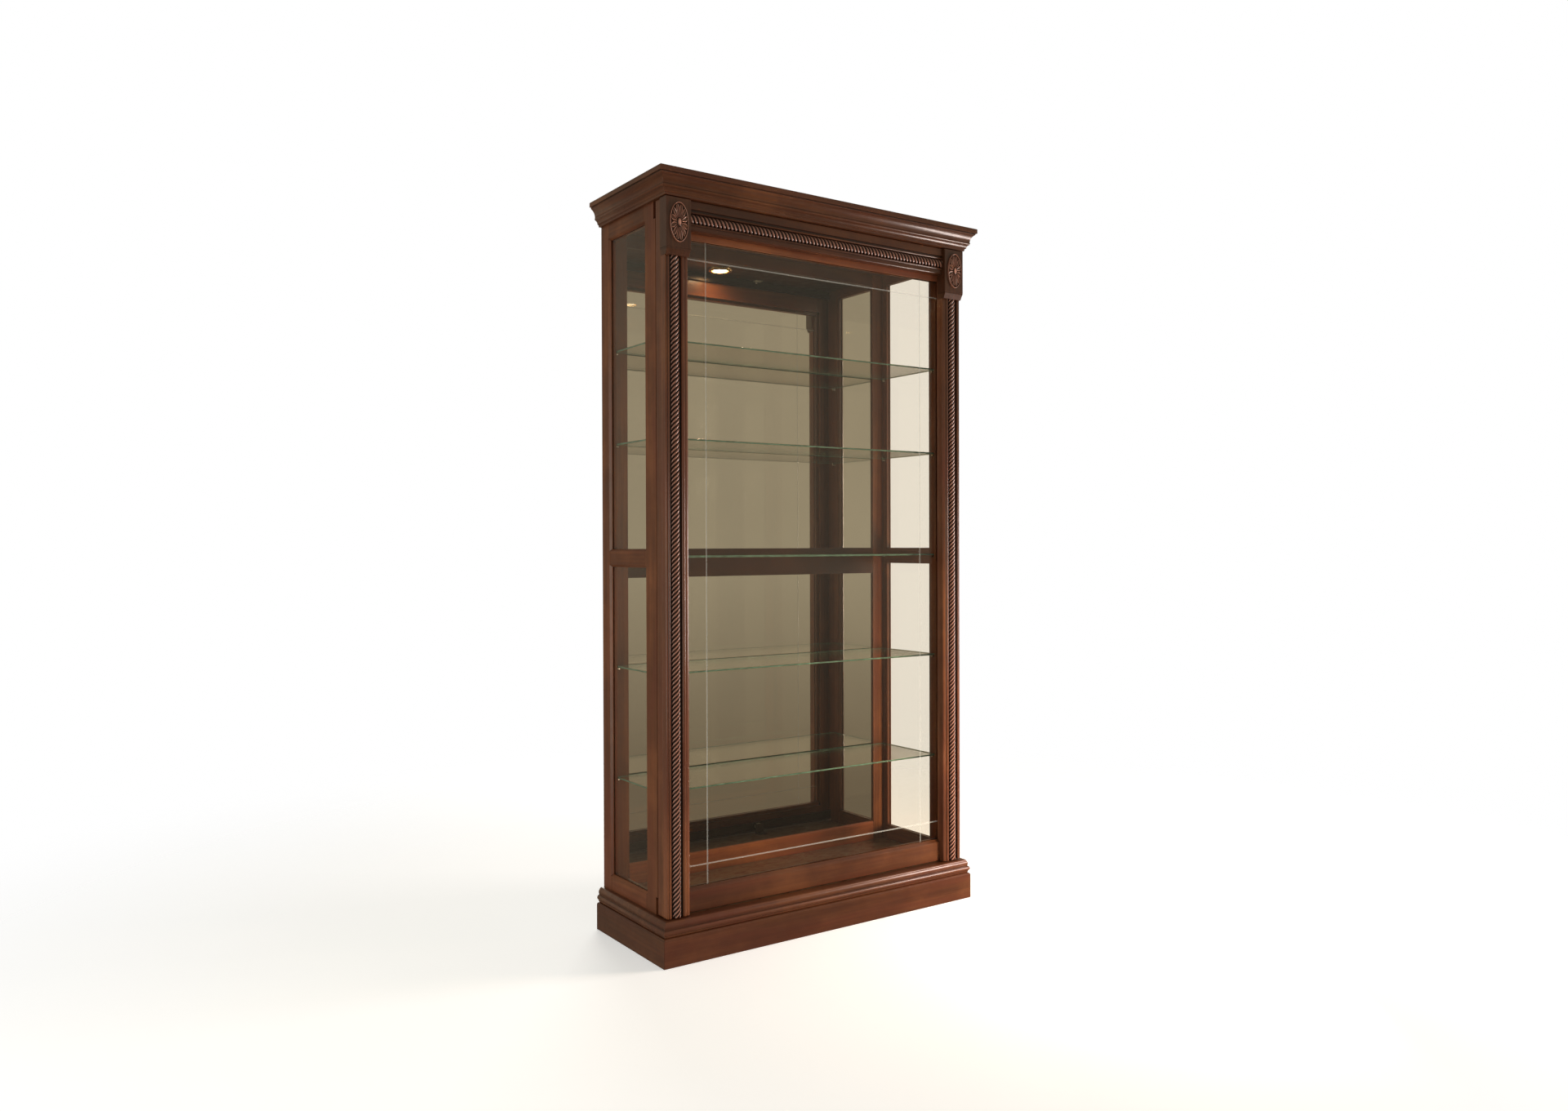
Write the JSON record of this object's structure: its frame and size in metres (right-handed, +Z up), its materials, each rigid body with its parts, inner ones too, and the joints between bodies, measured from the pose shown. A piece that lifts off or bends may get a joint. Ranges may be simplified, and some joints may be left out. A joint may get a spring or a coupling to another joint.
{
  "type": "curio cabinet",
  "caption": "Tall lit display cabinet with glass sides, mirrored back, glass shelves and a full-width sliding glass front framed by rope-carved pilasters under a flared crown.",
  "frame": {"origin": "centre of the footprint, on the floor", "axes": "+Z up, +X to the right seen from the front, +Y towards the back (the wall)"},
  "size_m": [1.102, 0.415, 2.057],
  "materials": {
    "cherry_wood": "satin lacquer over a dark reddish-brown stain",
    "carved_wood": "satin lacquer over stain, dark glaze in the carving",
    "panel_wood": "stained, dull lacquer",
    "stop_wood": "dark stained strip",
    "deck_veneer": "stained figured veneer, glossy lacquer",
    "backing_board": "bare fibreboard",
    "door_glass": "clear float glass, polished, with V-grooves",
    "pane_glass": "clear float glass, polished",
    "shelf_glass": "clear float glass with green seamed edges",
    "mirror": "silvered glass",
    "brass": "polished, lacquered",
    "lamp_metal": "plain, dull",
    "lamp_lens": "frosted, lit warm white",
    "pin_steel": "nickel plated",
    "channel_aluminium": "mill finish, dull",
    "bracket_steel": "zinc plated",
    "nylon": "natural nylon"
  },
  "bodies": {
    "case": {"back_bottom_rail": "cherry_wood", "back_mid_rail": "cherry_wood", "back_panels": "backing_board", "back_stile_left": "cherry_wood", "back_stile_right": "cherry_wood", "back_top_rail": "cherry_wood", "base_moulding": "cherry_wood", "ceiling_panel": "panel_wood", "crown_front": "cherry_wood", "crown_sides": "cherry_wood", "deck_board": "deck_veneer", "guide_pins": "nylon", "lamp_bulb": "lamp_lens", "lamp_can": "lamp_metal", "lamp_trim": "brass", "mirror_lower": "mirror", "mirror_upper": "mirror", "plinth_back": "cherry_wood", "plinth_front": "cherry_wood", "plinth_sides": "cherry_wood", "roller_brackets": "bracket_steel", "shelf_1": "shelf_glass", "shelf_2": "shelf_glass", "shelf_3": "shelf_glass", "shelf_4": "shelf_glass", "shelf_5": "shelf_glass", "shelf_pins": "pin_steel", "side_bottom_rail_left": "cherry_wood", "side_bottom_rail_right": "cherry_wood", "side_front_stile_left": "cherry_wood", "side_front_stile_right": "cherry_wood", "side_mid_rail_left": "cherry_wood", "side_mid_rail_right": "cherry_wood", "side_pane_lower_left": "pane_glass", "side_pane_lower_right": "pane_glass", "side_pane_stops": "stop_wood", "side_pane_upper_left": "pane_glass", "side_pane_upper_right": "pane_glass", "side_rear_stile_left": "cherry_wood", "side_rear_stile_right": "cherry_wood", "side_top_rail_left": "cherry_wood", "side_top_rail_right": "cherry_wood", "top_board": "panel_wood"},
    "door": {"corner_blocks": "cherry_wood", "door_bottom_rail": "cherry_wood", "door_glass": "door_glass", "door_glass_stops": "stop_wood", "door_stile_left": "cherry_wood", "door_stile_right": "cherry_wood", "door_top_rail": "cherry_wood", "frieze": "cherry_wood", "frieze_rope": "carved_wood", "guide_channel": "channel_aluminium", "pilaster_left": "cherry_wood", "pilaster_right": "cherry_wood", "pilaster_ropes": "carved_wood", "rosettes": "carved_wood", "track_channel": "channel_aluminium"},
    "left_roller": {"roller_left": "nylon"},
    "right_roller": {"roller_right": "nylon"}
  },
  "joints": [
    {"name": "door_slide", "type": "slide", "parent": "case", "child": "door", "axis": [1, 0, 0], "range_m": [-0.305, 0.305]},
    {"name": "left_roller_spin", "type": "hinge", "parent": "case", "child": "left_roller", "pos_m": [-0.189, -0.1085, 0.1383], "axis": [0, 1, 0], "range_deg": [-1460, 1460]},
    {"name": "right_roller_spin", "type": "hinge", "parent": "case", "child": "right_roller", "pos_m": [0.189, -0.1085, 0.1383], "axis": [0, 1, 0], "range_deg": [-1460, 1460]}
  ],
  "couplings": [
    {"joint": "left_roller_spin", "follows": "door_slide", "rad_per_m": 83.333},
    {"joint": "right_roller_spin", "follows": "door_slide", "rad_per_m": 83.333}
  ]
}
